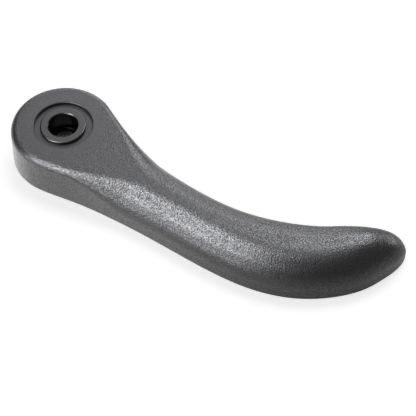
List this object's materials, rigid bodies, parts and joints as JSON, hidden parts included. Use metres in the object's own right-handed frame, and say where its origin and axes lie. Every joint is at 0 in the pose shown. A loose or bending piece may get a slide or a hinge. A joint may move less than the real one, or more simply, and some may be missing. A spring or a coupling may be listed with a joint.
{
  "type": "car seat recliner lever",
  "caption": "Curved hand lever for a car seat recliner: round head with a stepped drive bush, narrow neck and a full, rounded grip with a ribbed open back.",
  "frame": {"origin": "centre of the drive socket's mouth, on the hub axis, in the plane of the open back", "axes": "+Z along the hub axis towards the front face, +X from the hub to the tip of the grip"},
  "size_m": [0.153, 0.0544, 0.0158],
  "materials": {
    "grained_plastic": "fine leather grain, satin",
    "blackened_steel": "smooth black, satin"
  },
  "bodies": {
    "root": {"lever_body": "grained_plastic", "hub_bush": "blackened_steel"}
  },
  "joints": []
}
